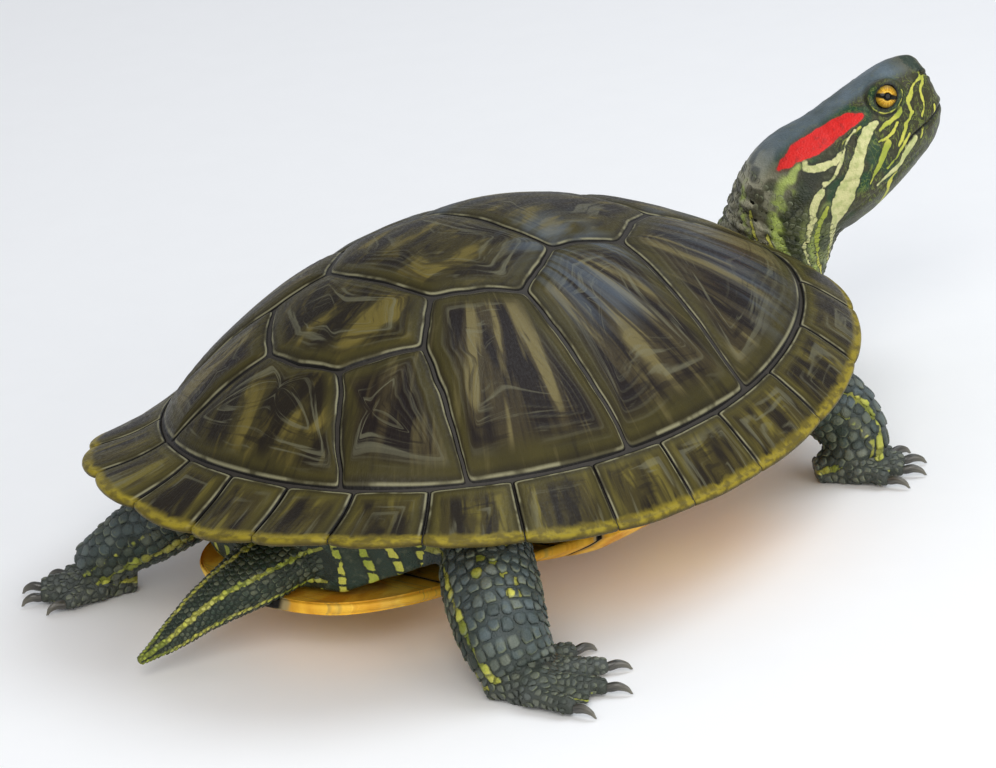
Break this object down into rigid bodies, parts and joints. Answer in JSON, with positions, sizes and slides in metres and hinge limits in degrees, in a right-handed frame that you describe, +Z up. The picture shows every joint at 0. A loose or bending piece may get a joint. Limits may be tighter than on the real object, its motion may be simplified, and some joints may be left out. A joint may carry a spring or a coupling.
{
  "type": "red-eared slider turtle",
  "caption": "Still life-size model of an adult red-eared slider turtle standing on four feet, head raised and turned, with a domed scuted shell.",
  "frame": {"origin": "under the middle of the whole turtle's bounding box, at the level of its soles", "axes": "+X the way the shell faces, +Y to the turtle's left, +Z up"},
  "size_m": [0.2881, 0.1866, 0.0931],
  "materials": {
    "carapace": "dark olive horn scutes with yellow-olive streaks, brown growth rings and a wet satin gloss",
    "marginals": "olive-brown horn with a yellowish lower edge, satin",
    "plastron": "orange-ochre horn with dark smudges, satin",
    "head_skin": "smooth dark green skin with yellow-green stripes and a red ear patch, moist satin",
    "limb_skin": "scaled dark grey-green skin with pale yellow stripes, matt",
    "eye": "golden iris with a round black pupil and a dark bar, wet gloss",
    "claw": "dark grey horn, satin"
  },
  "bodies": {
    "root": {"abdominal_left": "plastron", "abdominal_right": "plastron", "anal_left": "plastron", "anal_right": "plastron", "claw_front_left_1": "claw", "claw_front_left_2": "claw", "claw_front_left_3": "claw", "claw_front_left_4": "claw", "claw_front_left_5": "claw", "claw_front_right_1": "claw", "claw_front_right_2": "claw", "claw_front_right_3": "claw", "claw_front_right_4": "claw", "claw_front_right_5": "claw", "claw_hind_left_1": "claw", "claw_hind_left_2": "claw", "claw_hind_left_3": "claw", "claw_hind_left_4": "claw", "claw_hind_right_1": "claw", "claw_hind_right_2": "claw", "claw_hind_right_3": "claw", "claw_hind_right_4": "claw", "costal_1_left": "carapace", "costal_1_right": "carapace", "costal_2_left": "carapace", "costal_2_right": "carapace", "costal_3_left": "carapace", "costal_3_right": "carapace", "costal_4_left": "carapace", "costal_4_right": "carapace", "eye_left": "eye", "eye_right": "eye", "femoral_left": "plastron", "femoral_right": "plastron", "gular_left": "plastron", "gular_right": "plastron", "head": "head_skin", "humeral_left": "plastron", "humeral_right": "plastron", "leg_front_left": "limb_skin", "leg_front_right": "limb_skin", "leg_hind_left": "limb_skin", "leg_hind_right": "limb_skin", "marginals_bridge_left": "marginals", "marginals_bridge_right": "marginals", "marginals_front_left": "marginals", "marginals_front_right": "marginals", "marginals_rear_left": "marginals", "marginals_rear_right": "marginals", "neck": "head_skin", "nuchal": "marginals", "pectoral_left": "plastron", "pectoral_right": "plastron", "tail": "limb_skin", "trunk": "limb_skin", "vertebral_1": "carapace", "vertebral_2": "carapace", "vertebral_3": "carapace", "vertebral_4": "carapace", "vertebral_5": "carapace"}
  },
  "joints": []
}
